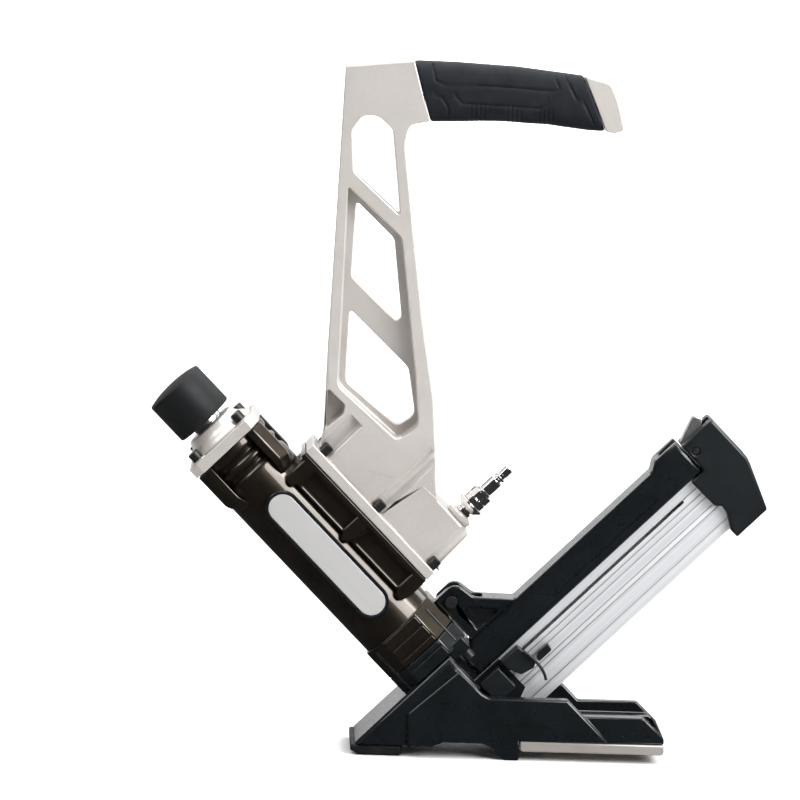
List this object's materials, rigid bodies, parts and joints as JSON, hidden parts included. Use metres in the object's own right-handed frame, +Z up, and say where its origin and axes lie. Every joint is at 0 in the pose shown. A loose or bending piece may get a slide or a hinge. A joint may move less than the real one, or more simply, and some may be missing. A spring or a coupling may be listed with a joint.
{
  "type": "flooring nailer",
  "caption": "Mallet-struck pneumatic flooring nailer: sloping cylinder body, tall skeleton handle with padded grip, raked magazine and flat shoe with a nose fence.",
  "frame": {"origin": "centre of the sole plate underside, which rests on the board", "axes": "+Z up, +X from the striking end toward the magazine, +Y across the tool; the drive line slopes 45 degrees down toward +X"},
  "size_m": [0.4945, 0.08, 0.5544],
  "materials": {
    "striker_rubber": "matt moulded striking cap",
    "bright_steel": "turned or ground steel",
    "champagne_paint": "satin champagne silver paint on a casting",
    "bronze_paint": "glossy dark bronze metallic paint",
    "badge_plate": "brushed plate with a black surround, blank",
    "black_casting": "semi-gloss black powder coat on a casting",
    "seal_rubber": "seals, gaskets and bumper",
    "bare_aluminium": "machined",
    "grip_rubber": "soft moulded grip",
    "fitting_chrome": "bright plated fitting",
    "anodised_rail": "clear anodised extrusion",
    "black_oxide": "black oxide fasteners",
    "black_moulding": "satin glass-filled nylon",
    "sole_plate": "ground sole plate",
    "foot_rubber": "moulded foot"
  },
  "bodies": {
    "tool": {"head_cap": "champagne_paint", "main_body": "bronze_paint", "badge_near": "badge_plate", "badge_far": "badge_plate", "nose_collar": "black_casting", "head_gasket": "seal_rubber", "plunger_spring": "bright_steel", "valve_cage": "bare_aluminium", "cylinder_sleeve": "bright_steel", "cylinder_seal": "seal_rubber", "bumper": "seal_rubber", "handle_casting": "champagne_paint", "handle_gasket": "seal_rubber", "grip_sleeve": "grip_rubber", "inlet_bushing": "fitting_chrome", "swivel_neck": "fitting_chrome", "magazine_extrusion": "anodised_rail", "magazine_beam": "black_casting", "bracket_screw": "black_oxide", "magazine_end_cap": "black_moulding", "latch_pin": "bright_steel", "nose_guide": "black_moulding", "driver_guide": "bright_steel", "base_shoe": "black_casting", "sole_plate": "sole_plate", "front_foot": "foot_rubber", "head_screw_1": "black_oxide", "collar_screw_1": "black_oxide", "sole_screw_1": "black_oxide", "head_screw_2": "black_oxide", "collar_screw_2": "black_oxide", "sole_screw_2": "black_oxide", "head_screw_3": "black_oxide", "collar_screw_3": "black_oxide", "sole_screw_3": "black_oxide", "head_screw_4": "black_oxide", "collar_screw_4": "black_oxide", "sole_screw_4": "black_oxide", "handle_screw_1": "black_oxide", "handle_screw_2": "black_oxide", "handle_screw_3": "black_oxide", "handle_screw_4": "black_oxide", "handle_screw_5": "black_oxide", "handle_screw_6": "black_oxide"},
    "plunger": {"striker_cap": "striker_rubber", "plunger_stem": "bright_steel"},
    "head_valve": {"head_valve": "bare_aluminium"},
    "piston": {"drive_piston": "bare_aluminium", "piston_ring": "seal_rubber", "driver_blade": "bright_steel"},
    "follower": {"follower_carriage": "black_moulding", "follower_wire": "black_oxide", "feed_spring": "bright_steel"},
    "follower_tab": {"follower_tab": "black_moulding"},
    "latch": {"latch_lever": "bright_steel"},
    "swivel": {"swivel_body": "fitting_chrome", "air_plug": "fitting_chrome"}
  },
  "joints": [
    {"name": "plunger_slide", "type": "slide", "parent": "tool", "child": "plunger", "axis": [0.7071, 0, -0.7071], "range_m": [0, 0.0048], "stiffness_N_per_m": 3000, "springref_m": -0.002, "deforming": ["plunger_spring"]},
    {"name": "head_valve_slide", "type": "slide", "parent": "tool", "child": "head_valve", "axis": [0.7071, 0, -0.7071], "range_m": [0, 0.0024]},
    {"name": "piston_slide", "type": "slide", "parent": "tool", "child": "piston", "axis": [0.7071, 0, -0.7071], "range_m": [0, 0.095]},
    {"name": "follower_slide", "type": "slide", "parent": "tool", "child": "follower", "axis": [0.7071, 0, 0.7071], "range_m": [0, 0.17]},
    {"name": "follower_tab_hinge", "type": "hinge", "parent": "follower", "child": "follower_tab", "pos_m": [-0.04455, -0.018, 0.07283], "axis": [0, 1, 0], "range_deg": [0, 15], "stiffness_Nm_per_rad": 0.2},
    {"name": "latch_hinge", "type": "hinge", "parent": "tool", "child": "latch", "pos_m": [0.07425, 0, 0.24395], "axis": [0, 1, 0], "range_deg": [0, 12], "stiffness_Nm_per_rad": 0.5},
    {"name": "swivel_turn", "type": "hinge", "parent": "tool", "child": "swivel", "pos_m": [-0.09829, 0, 0.19728], "axis": [0.7071, 0, 0.7071], "continuous": true}
  ],
  "couplings": [
    {"joint": "head_valve_slide", "follows": "plunger_slide", "ratio": 0.5}
  ]
}
